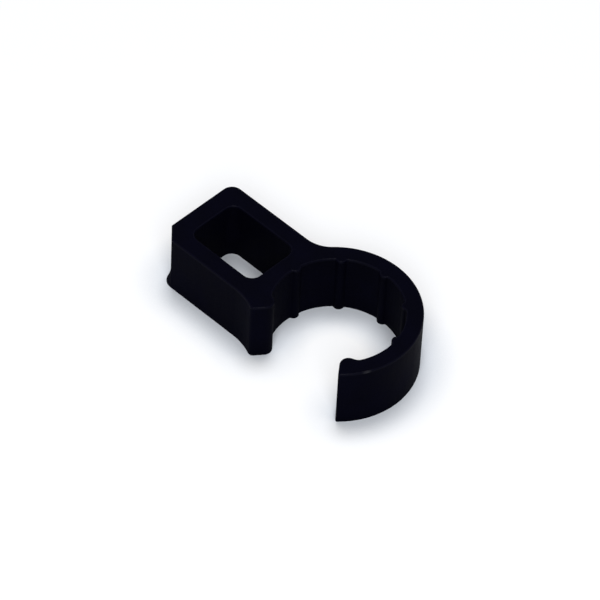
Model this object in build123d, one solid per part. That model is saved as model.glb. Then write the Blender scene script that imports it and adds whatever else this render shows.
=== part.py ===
from build123d import *
import math
import os

# Cable holder moulded in one piece: a rectangular sleeve, open at both ends, grown onto a C-shaped
# spring ring that snaps over a round tube.
# The ring axis is Z and the part stands on z = 0. The sleeve lies towards -X and the mouth faces -Y.

# Height of the whole moulding
height = 13.7

# Spring ring
bore_r = 13.3
ring_wall = 3.35

# Sleeve: how far its outer faces lie from the ring axis, and its walls
sleeve_reach = 37.95
sleeve_far = 9.1
sleeve_near = 10.4
sleeve_wall = 3.7
sleeve_end_wall = 4.1
sleeve_web = 3.35
hole_corner_r = 2.2
far_corner_r = 2.3
near_corner_cut = 2.85

# Hollow corner where the sleeve's far wall runs into the ring, and the flare from its near wall to the lip
far_blend_r = 6.6
flare_lead = 1.2
flare_slope = 3.3

# Mouth: direction of the lips from the middle of the gap, tilt of their end faces, and their beads
mouth_half_angle = 44.5
flank_tilt = 38.6
bead_r = 1.8
bead_rise = 1.0
bead_root_r = 2.0
lip_corner_r = 0.4
flare_corner_r = 1.0

# Grip ribs standing along the bore: spacing, direction of the middle one, and section
rib_count = 5
rib_pitch = 40.0
rib_middle = 91.2
rib_rise = 0.8
rib_r = 1.1
rib_root_r = 0.45

# Toe that fills the cut at the foot of the sleeve's near corner
toe_height = 1.4

# Rounded edges of the upper face; those of the lower one are crisp, at the mould's parting plane
edge_r = 0.3

outer_r = bore_r + ring_wall


def on_circle(radius, angle):
    """Point at an angle in degrees, counted from +X."""
    return Vector(radius * math.cos(math.radians(angle)), radius * math.sin(math.radians(angle)))


def mirrored(point):
    """The same point on the other side of the mouth."""
    return Vector(-point.X, point.Y)


def disc(centre, radius):
    """Circle about a point."""
    return Pos(centre.X, centre.Y) * Circle(radius)


def polygon(points):
    """Face with straight sides between points."""
    return Polygon(*[(point.X, point.Y) for point in points], align=None)


def round_corners(sketch, points, radius):
    """Fillet the sketch's corners nearest to the given points."""
    corners = []
    for point in points:
        corners.append(min(sketch.vertices(), key=lambda v: (Vector(v) - point).length))
    return fillet(corners, radius)


def bore_crossings(centre, radius):
    """Points where a circle crosses the bore, clockwise side first."""
    along = (centre.length**2 + bore_r**2 - radius**2) / (2 * centre.length)
    swing = math.degrees(math.acos(along / bore_r))
    middle = math.degrees(math.atan2(centre.Y, centre.X))
    return [on_circle(bore_r, middle - swing), on_circle(bore_r, middle + swing)]


def right_lip():
    """Outer corner of the right lip, the inward direction of its end face, and its bead's centre."""
    corner = on_circle(outer_r, mouth_half_angle - 90)
    tilt = math.radians(flank_tilt)
    inwards = Vector(-math.sin(tilt), math.cos(tilt))
    start = corner + Vector(math.cos(tilt), math.sin(tilt)) * bead_r
    centre_r = bore_r - bead_rise + bead_r
    half = start.dot(inwards)
    travel = -half - math.sqrt(half**2 - start.length**2 + centre_r**2)
    return corner, inwards, start + inwards * travel


def outside():
    """Outline of the sleeve and the ring together, without any opening."""
    box = Rectangle(sleeve_reach, sleeve_far + sleeve_near, align=(Align.MAX, Align.MIN))
    box = Pos(0, -sleeve_near) * box
    box = round_corners(box, [Vector(-sleeve_reach, sleeve_far)], far_corner_r)
    box = box - polygon(corner_cut())
    far_meet = Vector(-math.sqrt(outer_r**2 - sleeve_far**2), sleeve_far)
    shape = round_corners(box + Circle(outer_r), [far_meet], far_blend_r)
    return shape + near_flare()


def corner_cut():
    """Tip and two ends of the cut that takes off the sleeve's near corner."""
    tip = Vector(-sleeve_reach, -sleeve_near)
    return [tip, tip + Vector(near_corner_cut, 0), tip + Vector(0, near_corner_cut)]


def near_flare():
    """Stretch where the sleeve's near wall curves out to the left lip's corner, in length by its rise."""
    corner = mirrored(right_lip()[0])
    rise = -sleeve_near - corner.Y
    start = Vector(corner.X - flare_lead - flare_slope * rise, -sleeve_near)
    inside = Vector(start.X, 0)
    sweep = TangentArc(start, corner, tangent=(1, 0))
    return make_face(sweep + Polyline(corner, inside, start))


def rib_centres():
    """Centres of the rounded ribs, spread evenly about the middle one."""
    first = rib_middle - rib_pitch * (rib_count - 1) / 2
    return [on_circle(bore_r - rib_rise + rib_r, first + i * rib_pitch) for i in range(rib_count)]


def ring_seat(shape):
    """Cut the bore and the flared mouth, then grow the beads and ribs that grip the tube."""
    corner, inwards, bead = right_lip()
    apex = corner + inwards * (corner.X / -inwards.X)
    beyond = corner - inwards * outer_r
    shape = shape - Circle(bore_r) - polygon([apex, mirrored(beyond), beyond])
    shape = round_corners(shape, [corner], lip_corner_r)
    shape = round_corners(shape, [mirrored(corner)], flare_corner_r)
    # Each lip ends in a round nose that its end face runs into smoothly
    touch = bead - Vector(inwards.Y, -inwards.X) * bead_r
    step = inwards * (2 * bead_r)
    nose = [touch, touch + step, bead + step, bead]
    for room in (nose, [mirrored(point) for point in nose]):
        shape = shape - polygon(room) + disc(room[-1], bead_r)
    root = bore_crossings(bead, bead_r)[1]
    shape = round_corners(shape, [root, mirrored(root)], bead_root_r)
    roots = []
    for centre in rib_centres():
        shape = shape + disc(centre, rib_r)
        roots.extend(bore_crossings(centre, rib_r))
    return round_corners(shape, roots, rib_root_r)


def sleeve_hole():
    """Section of the hole through the sleeve."""
    left = -sleeve_reach + sleeve_end_wall
    right = -bore_r - sleeve_web
    far = sleeve_far - sleeve_wall
    near = -sleeve_near + sleeve_wall
    hole = RectangleRounded(right - left, far - near, hole_corner_r)
    return Pos((left + right) / 2, (far + near) / 2) * hole


def toe():
    """Foot that swells from the flat of the cut corner down to a round at the floor."""
    tip, right, left = corner_cut()
    inner = right + left - tip
    rounded = disc(inner, near_corner_cut) & polygon([inner, left, tip, right])
    flat = polygon([inner, left, right])
    return loft([rounded, Pos(0, 0, toe_height) * flat], ruled=True)


body = extrude(ring_seat(outside()), height) + toe() - extrude(sleeve_hole(), height)
body = fillet(body.faces().sort_by(Axis.Z)[-1].edges(), edge_r)

os.makedirs("parts", exist_ok=True)
export_step(body, "parts/cable_holder.step")
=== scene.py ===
"""Finish, studio and camera for a black moulded cable holder, laid out as a Blender add-on."""
import math

import bmesh
import bpy
from bpy.props import FloatProperty, FloatVectorProperty, PointerProperty
from mathutils import Matrix, Vector


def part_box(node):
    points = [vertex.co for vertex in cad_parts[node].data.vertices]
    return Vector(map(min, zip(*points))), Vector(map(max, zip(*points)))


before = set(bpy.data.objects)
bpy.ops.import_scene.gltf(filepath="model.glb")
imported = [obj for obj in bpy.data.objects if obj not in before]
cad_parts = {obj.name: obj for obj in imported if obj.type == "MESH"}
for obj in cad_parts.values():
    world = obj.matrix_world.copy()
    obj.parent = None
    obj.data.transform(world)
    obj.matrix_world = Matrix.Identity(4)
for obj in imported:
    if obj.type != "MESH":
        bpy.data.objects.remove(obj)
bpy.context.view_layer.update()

bl_info = {
    "name": "Cable Holder",
    "version": (1, 0, 0),
    "blender": (4, 5, 0),
    "location": "View3D > Sidebar > Cable Holder",
    "description": "Black moulded plastic, studio and camera for a cable holder",
    "category": "Object",
}

TOP_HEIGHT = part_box("cable_holder")[1].z

# Side of the picture in pixels, and width of the camera's sensor in millimetres
IMAGE_SIDE = 600
SENSOR_WIDTH = 36.0

# Patterns in the plastic: fineness, and how far the drag lines are drawn out upwards
FINE_DETAIL = 2.0
CLOUD_DETAIL = 3.0
DRAG_STRETCH = 0.02
PATTERN_MEAN = 0.5

# Shares of the patterns and of the rounded edges in the paler patches, and where these begin
# and are full. The rounded edges' share is a painted highlight along the upper rims.
CLOUD_PALENESS = 0.6
GRAIN_PALENESS = 0.4
RIM_PAINTED_SHEEN = 0.25
PALE_FROM = 0.35
PALE_TO = 0.8

# Shares of the patterns in the roughness and in the relief
CLOUD_ROUGHNESS = 0.22
DRAG_ROUGHNESS = 0.12
DRAG_RELIEF = 0.35
RELIEF_STRENGTH = 0.6

# Part of the rounded edges' height, just below the upper face, in which their gloss fades
RIM_FADE = 0.1

# How open the floor has to be before it glows, where it glows in full, and the samples for that;
# the glow missing near the holder is painted shade
OPEN_FROM = 0.68
OPEN_TO = 1.0
OPEN_SAMPLES = 6


class HolderFinish(bpy.types.PropertyGroup):
    """Sizes and colours of the moulded black plastic."""

    deep_colour: FloatVectorProperty(
        name="Plastic",
        description="Colour of the black plastic",
        subtype="COLOR",
        min=0.0,
        max=1.0,
        default=(0.0006, 0.0006, 0.0028),
    )
    # Paler random patches of the skin, and painted highlight on the rounded upper edges
    paler_and_edge_sheen_colour: FloatVectorProperty(
        name="Paler plastic",
        description="Colour where the skin of the moulding is a little paler",
        subtype="COLOR",
        min=0.0,
        max=1.0,
        default=(0.0014, 0.0014, 0.0056),
    )
    roughness: FloatProperty(
        name="Roughness",
        description="Mean roughness of the matte skin",
        subtype="FACTOR",
        min=0.0,
        max=1.0,
        default=0.62,
    )
    edge_gloss: FloatProperty(
        name="Edge gloss",
        description="How much gloss the rounded upper edges have",
        subtype="FACTOR",
        min=0.0,
        max=1.0,
        default=0.04,
    )
    rub_gloss: FloatProperty(
        name="Rub gloss",
        description="How much gloss the rubbed spot on the ring's edge has",
        subtype="FACTOR",
        min=0.0,
        max=1.0,
        default=0.35,
    )
    rub_place: FloatVectorProperty(
        name="Rub place",
        description="Middle of the rubbed spot on the ring's edge",
        subtype="XYZ",
        unit="LENGTH",
        default=(0.01488, -0.00726, 0.0136),
    )
    rub_reach: FloatProperty(
        name="Rub reach",
        description="How far the rubbed spot reaches from its middle",
        subtype="DISTANCE",
        unit="LENGTH",
        min=0.0001,
        default=0.0012,
    )
    gloss_roughness: FloatProperty(
        name="Gloss roughness",
        description="Roughness of the gloss on the upper edges",
        subtype="FACTOR",
        min=0.0,
        max=1.0,
        default=0.22,
    )
    specular: FloatProperty(
        name="Specular level",
        description="Strength of the plastic's reflection",
        subtype="FACTOR",
        min=0.0,
        max=1.0,
        default=0.010,
    )
    edge_height: FloatProperty(
        name="Edge height",
        description="Height of the rounded upper edges",
        subtype="DISTANCE",
        unit="LENGTH",
        min=0.0,
        default=0.0003,
    )
    grain_size: FloatProperty(
        name="Grain size",
        description="Size of the fine texture that the mould leaves",
        subtype="DISTANCE",
        unit="LENGTH",
        min=0.00001,
        default=0.00032,
    )
    grain_depth: FloatProperty(
        name="Grain depth",
        description="Depth of the fine texture",
        subtype="DISTANCE",
        unit="LENGTH",
        min=0.0,
        default=0.000024,
    )
    drag_width: FloatProperty(
        name="Drag line width",
        description="Width of the faint lines left as the part slid out of the mould",
        subtype="DISTANCE",
        unit="LENGTH",
        min=0.00001,
        default=0.0005,
    )
    cloud_size: FloatProperty(
        name="Cloud size",
        description="Size of the soft patches left by the flow of the plastic",
        subtype="DISTANCE",
        unit="LENGTH",
        min=0.0001,
        default=0.007,
    )


class StudioLook(bpy.types.PropertyGroup):
    """Floor, sky and lamps."""

    floor_colour: FloatVectorProperty(
        name="Floor",
        description="Colour of the floor",
        subtype="COLOR",
        min=0.0,
        max=1.0,
        default=(0.73, 0.768, 0.83),
    )
    floor_side: FloatProperty(
        name="Floor side",
        description="Length of the floor's sides",
        subtype="DISTANCE",
        unit="LENGTH",
        default=6.0,
    )
    floor_glow: FloatVectorProperty(
        name="Floor glow",
        description="Light that lifts the open floor to white in the picture",
        subtype="COLOR",
        min=0.0,
        max=1.0,
        default=(0.268, 0.240, 0.200),
    )
    shadow_glow: FloatVectorProperty(
        name="Shadow glow",
        description="Light that the floor keeps close to the holder",
        subtype="COLOR",
        min=0.0,
        max=1.0,
        default=(0.0, 0.0, 0.0),
    )
    shadow_reach: FloatProperty(
        name="Shadow reach",
        description="How near to the holder the floor loses its glow",
        subtype="DISTANCE",
        unit="LENGTH",
        min=0.001,
        default=0.008,
    )
    sky_strength: FloatProperty(
        name="Sky",
        description="Even light from all sides",
        min=0.0,
        max=1.0,
        default=0.231,
    )
    back_power: FloatProperty(
        name="Back lamp",
        description="Power of the soft lamp above and behind the holder",
        subtype="POWER",
        unit="POWER",
        min=0.0,
        default=5.7,
    )
    back_direction: FloatVectorProperty(
        name="Back lamp direction",
        description="Direction from the ring to the lamp behind the holder",
        subtype="DIRECTION",
        default=(-0.163, 0.179, 0.97),
    )
    front_power: FloatProperty(
        name="Front lamp",
        description="Power of the soft lamp on the camera's side",
        subtype="POWER",
        unit="POWER",
        min=0.0,
        default=9.0,
    )
    front_direction: FloatVectorProperty(
        name="Front lamp direction",
        description="Direction from the ring to the lamp on the camera's side",
        subtype="DIRECTION",
        default=(0.451, -0.494, 0.743),
    )
    back_size: FloatProperty(
        name="Back lamp size",
        description="Width of the lamp behind the holder",
        subtype="DISTANCE",
        unit="LENGTH",
        min=0.001,
        default=0.44,
    )
    front_size: FloatProperty(
        name="Front lamp size",
        description="Width of the lamp on the camera's side",
        subtype="DISTANCE",
        unit="LENGTH",
        min=0.001,
        default=0.68,
    )
    lamp_distance: FloatProperty(
        name="Lamp distance",
        description="Distance from the ring to the lamps",
        subtype="DISTANCE",
        unit="LENGTH",
        min=0.05,
        default=1.2,
    )


class PictureView(bpy.types.PropertyGroup):
    """Camera of the main picture."""

    azimuth: FloatProperty(
        name="Azimuth",
        description="Turn of the camera round the holder, from the mouth side",
        subtype="ANGLE",
        unit="ROTATION",
        default=math.radians(42.36),
    )
    elevation: FloatProperty(
        name="Elevation",
        description="Height of the camera above the horizon",
        subtype="ANGLE",
        unit="ROTATION",
        default=math.radians(47.66),
    )
    roll: FloatProperty(
        name="Roll",
        description="Turn of the camera about its own line of sight",
        subtype="ANGLE",
        unit="ROTATION",
        default=math.radians(-3.076),
    )
    distance: FloatProperty(
        name="Distance",
        description="Distance from the camera to the aim point",
        subtype="DISTANCE",
        unit="LENGTH",
        default=0.86637,
    )
    focal_pixels: FloatProperty(
        name="Focal length in pixels",
        description="Focal length, counted in pixels of the picture",
        default=4505.1,
    )
    aim_height: FloatProperty(
        name="Aim height",
        description="Height of the aim point on the ring axis",
        subtype="DISTANCE",
        unit="LENGTH",
        default=0.01354,
    )
    aside: FloatVectorProperty(
        name="Aside",
        description="How far the ring axis lies right of and above the middle of the picture",
        subtype="XYZ",
        unit="LENGTH",
        size=2,
        default=(0.0072456, -0.0019595),
    )


class Shade:
    """An output socket of a shader tree. Arithmetic on it adds the Math nodes."""

    def __init__(self, tree, socket=None):
        self.tree = tree
        self.socket = socket

    def node(self, kind, settings, sockets, output=0):
        """Add a node of one type: first its settings, then its sockets' values or links."""
        made = self.tree.nodes.new("ShaderNode" + kind)
        for name, value in settings.items():
            setattr(made, name, value)
        for name, value in sockets.items():
            if isinstance(value, Shade):
                self.tree.links.new(value.socket, made.inputs[name])
            else:
                made.inputs[name].default_value = value
        return Shade(self.tree, made.outputs[output] if made.outputs else None)

    def math(self, operation, first, second):
        """Add a Math node on two values."""
        return self.node("Math", {"operation": operation}, {0: first, 1: second})

    def __add__(self, other):
        return self.math("ADD", self, other)

    def __radd__(self, other):
        return self.math("ADD", other, self)

    def __sub__(self, other):
        return self.math("SUBTRACT", self, other)

    def __rsub__(self, other):
        return self.math("SUBTRACT", other, self)

    def __mul__(self, other):
        return self.math("MULTIPLY", self, other)

    def __rmul__(self, other):
        return self.math("MULTIPLY", other, self)


def empty_tree(owner):
    """Give a material or world a bare node tree and return a Shade on it."""
    owner.use_nodes = True
    owner.node_tree.nodes.clear()
    return Shade(owner.node_tree)


def colour_mix(shade, factor, first, second):
    """Blend two colours."""
    return shade.node(
        "Mix",
        {"data_type": "RGBA"},
        {0: factor, 6: (*first, 1.0), 7: (*second, 1.0)},
        output=2,
    )


def smooth_step(shade, value, low, high):
    """Rise from 0 at low to 1 at high."""
    settings = {"interpolation_type": "SMOOTHSTEP"}
    return shade.node("MapRange", settings, {"Value": value, "From Min": low, "From Max": high})


def seen_rays(shade):
    """1 for the rays that show the background to the camera, in a mirror or through glass."""
    kinds = ("Is Camera Ray", "Is Glossy Ray", "Is Transmission Ray")
    direct, mirrored, passed = (shade.node("LightPath", {}, {}, output=kind) for kind in kinds)
    return shade.math("MAXIMUM", shade.math("MAXIMUM", direct, mirrored), passed)


def pattern(shade, place, size, detail):
    """Soft noise whose blotches have a given size."""
    return shade.node("TexNoise", {}, {"Vector": place, "Scale": 1 / size, "Detail": detail})


def black_plastic(finish):
    """Matte black plastic with mould grain, drag lines on its walls, glossier rounded edges and a
    painted highlight on them.
    """
    material = bpy.data.materials.new("black_plastic")
    shade = empty_tree(material)
    place = shade.node("TexCoord", {}, {}, output="Object")
    height = shade.node("SeparateXYZ", {}, {"Vector": place}, output="Z")
    drawn = shade.node("Mapping", {}, {"Vector": place, "Scale": (1.0, 1.0, DRAG_STRETCH)})
    grain = pattern(shade, place, finish.grain_size, FINE_DETAIL)
    drag = pattern(shade, drawn, finish.drag_width, FINE_DETAIL)
    cloud = pattern(shade, place, finish.cloud_size, CLOUD_DETAIL)
    # Rounded edges of the upper face, and the rubbed spot on the ring's
    edge_foot = TOP_HEIGHT - finish.edge_height
    edge_top = TOP_HEIGHT - RIM_FADE * finish.edge_height
    rising = smooth_step(shade, height, edge_foot - finish.edge_height, edge_foot)
    fading = smooth_step(shade, height, edge_top, TOP_HEIGHT)
    rim = rising * (1 - fading)
    away = shade.node(
        "VectorMath",
        {"operation": "DISTANCE"},
        {0: place, 1: finish.rub_place},
        output="Value",
    )
    rubbed = 1 - smooth_step(shade, away, 0.0, finish.rub_reach)
    # Random paler patches, plus a painted highlight: the rounded upper edges get a paler base
    # colour
    mottle_and_edge_sheen = CLOUD_PALENESS * cloud + GRAIN_PALENESS * grain + RIM_PAINTED_SHEEN * rim
    paler = smooth_step(shade, mottle_and_edge_sheen, PALE_FROM, PALE_TO)
    roughness = (
        finish.roughness
        + CLOUD_ROUGHNESS * (cloud - PATTERN_MEAN)
        + DRAG_ROUGHNESS * (drag - PATTERN_MEAN)
    )
    relief = shade.node(
        "Bump",
        {},
        {
            "Strength": RELIEF_STRENGTH,
            "Distance": finish.grain_depth,
            "Height": grain + DRAG_RELIEF * drag,
        },
    )
    surface = shade.node(
        "BsdfPrincipled",
        {},
        {
            # Base colour carries the painted highlight on the rounded upper edges
            "Base Color": colour_mix(shade, paler, finish.deep_colour, finish.paler_and_edge_sheen_colour),
            "Roughness": roughness,
            "Specular IOR Level": finish.specular,
            "Coat Weight": rim * (finish.edge_gloss + finish.rub_gloss * rubbed),
            "Coat Roughness": finish.gloss_roughness,
            "Normal": relief,
        },
    )
    shade.node("OutputMaterial", {}, {"Surface": surface})
    return material


def floor_material(look):
    """Pale floor that keeps the shadow and reads white where it is open, with painted shade where
    its glow fades near the holder.
    """
    material = bpy.data.materials.new("studio_floor")
    shade = empty_tree(material)
    diffuse = shade.node("BsdfDiffuse", {}, {"Color": (*look.floor_colour, 1.0)})
    # Painted shade: the glow fades where ambient occlusion finds the holder close by, which paints
    # a tight contact shadow
    openness = shade.node(
        "AmbientOcclusion",
        {"samples": OPEN_SAMPLES},
        {"Distance": look.shadow_reach},
        output="AO",
    )
    opened = smooth_step(shade, openness, OPEN_FROM, OPEN_TO)
    lift = colour_mix(shade, opened, look.shadow_glow, look.floor_glow)
    glow = shade.node("Emission", {}, {"Color": lift, "Strength": seen_rays(shade)})
    both = shade.node("AddShader", {}, {0: diffuse, 1: glow})
    shade.node("OutputMaterial", {}, {"Surface": both})
    return material


def add_floor(look):
    """Lay a flat floor under the holder."""
    shape = bmesh.new()
    bmesh.ops.create_grid(shape, x_segments=1, y_segments=1, size=look.floor_side / 2)
    mesh = bpy.data.meshes.new("floor")
    shape.to_mesh(mesh)
    shape.free()
    mesh.materials.append(floor_material(look))
    floor = bpy.data.objects.new("floor", mesh)
    bpy.context.scene.collection.objects.link(floor)


def add_sky(look):
    """Even light from all sides, which is white where it shows."""
    world = bpy.data.worlds.new("studio_sky")
    shade = empty_tree(world)
    strength = look.sky_strength + (1 - look.sky_strength) * seen_rays(shade)
    light = shade.node("Background", {}, {"Color": (1.0, 1.0, 1.0, 1.0), "Strength": strength})
    shade.node("OutputWorld", {}, {"Surface": light})
    bpy.context.scene.world = world


def add_lamp(name, power, size, direction, distance):
    """Hang a round soft lamp and turn it to the ring."""
    data = bpy.data.lights.new(name, "AREA")
    data.shape = "DISK"
    data.size = size
    data.energy = power
    direction = Vector(direction).normalized()
    lamp = bpy.data.objects.new(name, data)
    lamp.location = direction * distance
    lamp.rotation_euler = direction.to_track_quat("Z", "Y").to_euler()
    bpy.context.scene.collection.objects.link(lamp)


def add_camera(view):
    """Set up the camera of the main picture."""
    out = Vector((
        math.sin(view.azimuth) * math.cos(view.elevation),
        -math.cos(view.azimuth) * math.cos(view.elevation),
        math.sin(view.elevation),
    ))
    level = Vector((math.cos(view.azimuth), math.sin(view.azimuth), 0.0))
    upright = out.cross(level)
    right = math.cos(view.roll) * level - math.sin(view.roll) * upright
    up = math.sin(view.roll) * level + math.cos(view.roll) * upright
    aim = Vector((0.0, 0.0, view.aim_height))
    stand = aim + out * view.distance - right * view.aside[0] - up * view.aside[1]
    data = bpy.data.cameras.new("camera")
    data.sensor_width = SENSOR_WIDTH
    data.lens = data.sensor_width * view.focal_pixels / IMAGE_SIDE
    camera = bpy.data.objects.new("camera", data)
    turn = Matrix((right, up, out)).transposed().to_4x4()
    camera.matrix_world = Matrix.Translation(stand) @ turn
    bpy.context.scene.collection.objects.link(camera)
    bpy.context.scene.camera = camera


class FinishHolder(bpy.types.Operator):
    """Give the moulding its black plastic"""

    bl_idname = "cable_holder.finish"
    bl_label = "Finish holder"

    def execute(self, context):
        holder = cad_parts["cable_holder"]
        skin = black_plastic(context.scene.holder_finish)
        for slot in holder.material_slots:
            slot.material = skin
        return {"FINISHED"}


class SetStudio(bpy.types.Operator):
    """Lay the floor, light it and set up the camera"""

    bl_idname = "cable_holder.studio"
    bl_label = "Set studio"

    def execute(self, context):
        scene = context.scene
        look = scene.studio_look
        add_floor(look)
        add_sky(look)
        distance = look.lamp_distance
        add_lamp("back_lamp", look.back_power, look.back_size, look.back_direction, distance)
        add_lamp("front_lamp", look.front_power, look.front_size, look.front_direction, distance)
        add_camera(scene.picture_view)
        scene.view_settings.view_transform = "Standard"
        return {"FINISHED"}


class CableHolderPanel(bpy.types.Panel):
    """Sizes, colours and steps of the cable holder"""

    bl_idname = "VIEW3D_PT_cable_holder"
    bl_label = "Cable holder"
    bl_space_type = "VIEW_3D"
    bl_region_type = "UI"
    bl_category = "Cable Holder"

    def draw(self, context):
        scene = context.scene
        for group, step in (
            (scene.holder_finish, FinishHolder),
            (scene.studio_look, SetStudio),
            (scene.picture_view, SetStudio),
        ):
            column = self.layout.column()
            for name in group.__annotations__:
                column.prop(group, name)
            column.operator(step.bl_idname)


GROUPS = {
    "holder_finish": HolderFinish,
    "studio_look": StudioLook,
    "picture_view": PictureView,
}
CLASSES = (*GROUPS.values(), FinishHolder, SetStudio, CableHolderPanel)


def register():
    """Add the classes, and the values to the scene."""
    for cls in CLASSES:
        bpy.utils.register_class(cls)
    for name, group in GROUPS.items():
        setattr(bpy.types.Scene, name, PointerProperty(type=group))


def unregister():
    """Take the values and the classes away again."""
    for name in GROUPS:
        delattr(bpy.types.Scene, name)
    for cls in reversed(CLASSES):
        bpy.utils.unregister_class(cls)


def main():
    """Finish the holder and set the studio."""
    register()
    bpy.ops.cable_holder.finish()
    bpy.ops.cable_holder.studio()


if __name__ == "__main__":
    main()
